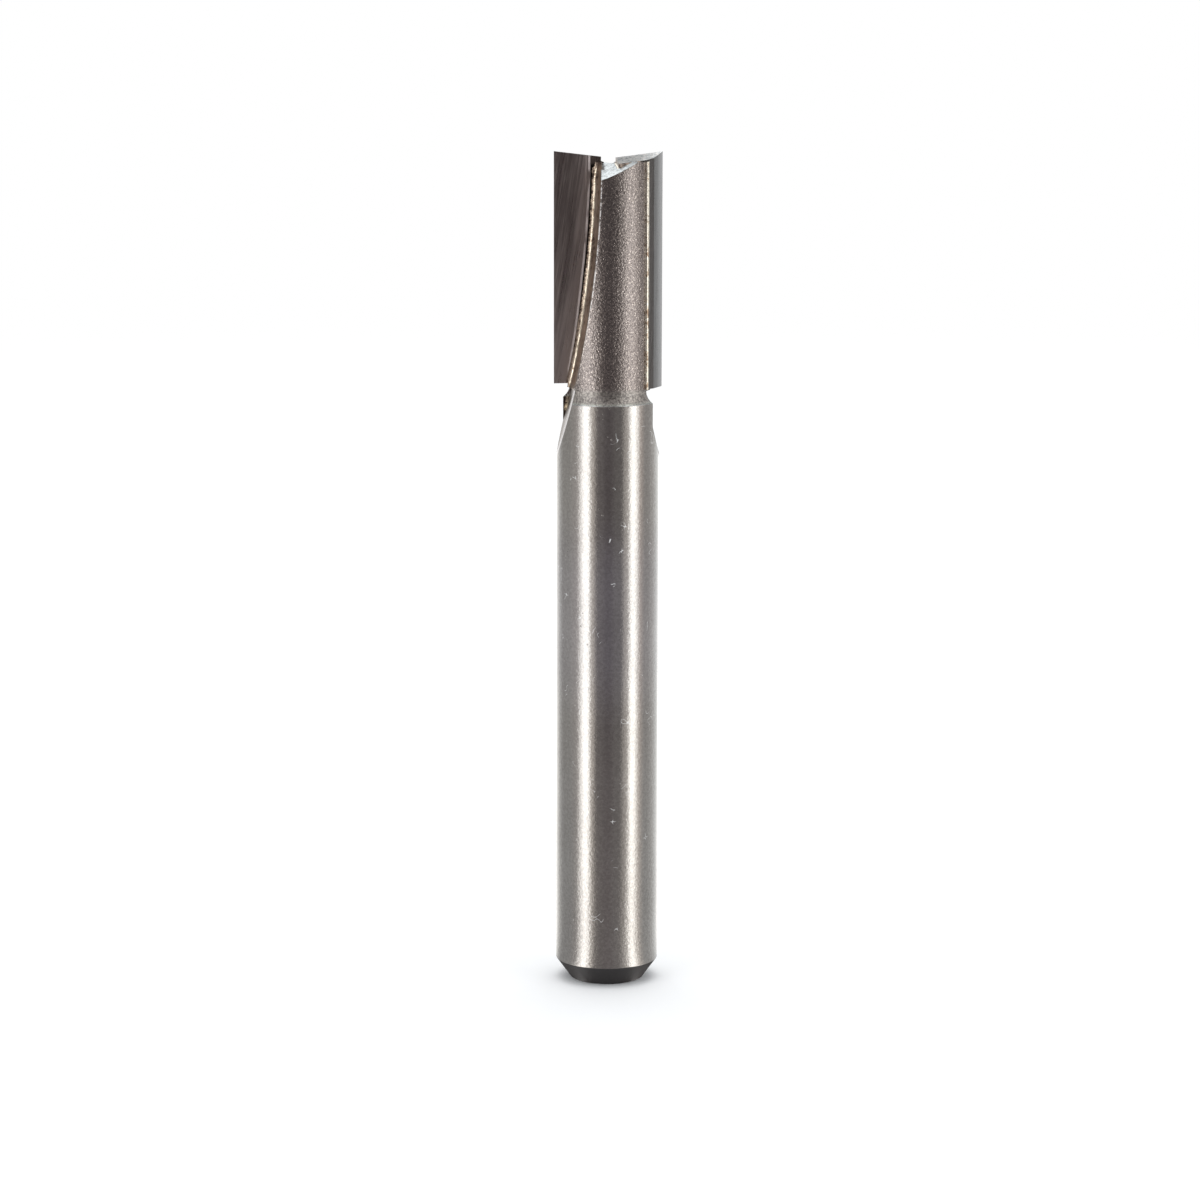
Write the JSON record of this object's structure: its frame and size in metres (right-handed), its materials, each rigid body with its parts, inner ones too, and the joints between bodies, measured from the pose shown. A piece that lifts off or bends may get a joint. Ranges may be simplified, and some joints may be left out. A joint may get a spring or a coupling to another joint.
{
  "type": "straight router bit",
  "caption": "Straight router bit: cylindrical steel shank with two brazed carbide cutting edges and ground end cutters.",
  "frame": {"origin": "centre of the shank's flat end face, which the bit stands on", "axes": "+Z along the bit's axis from the shank's end to the cutting end; the cutting edges lie on the X axis"},
  "size_m": [0.0066, 0.0064, 0.0516],
  "materials": {
    "tool_steel": "ground shank, blasted head, blackened end chamfer",
    "carbide": "fine ground tungsten carbide",
    "braze_alloy": "dull gold, slightly wavy as it flowed"
  },
  "bodies": {
    "root": {"steel_body": "tool_steel", "carbide_tip_1": "carbide", "carbide_tip_2": "carbide", "braze_1": "braze_alloy", "braze_2": "braze_alloy"}
  },
  "joints": []
}
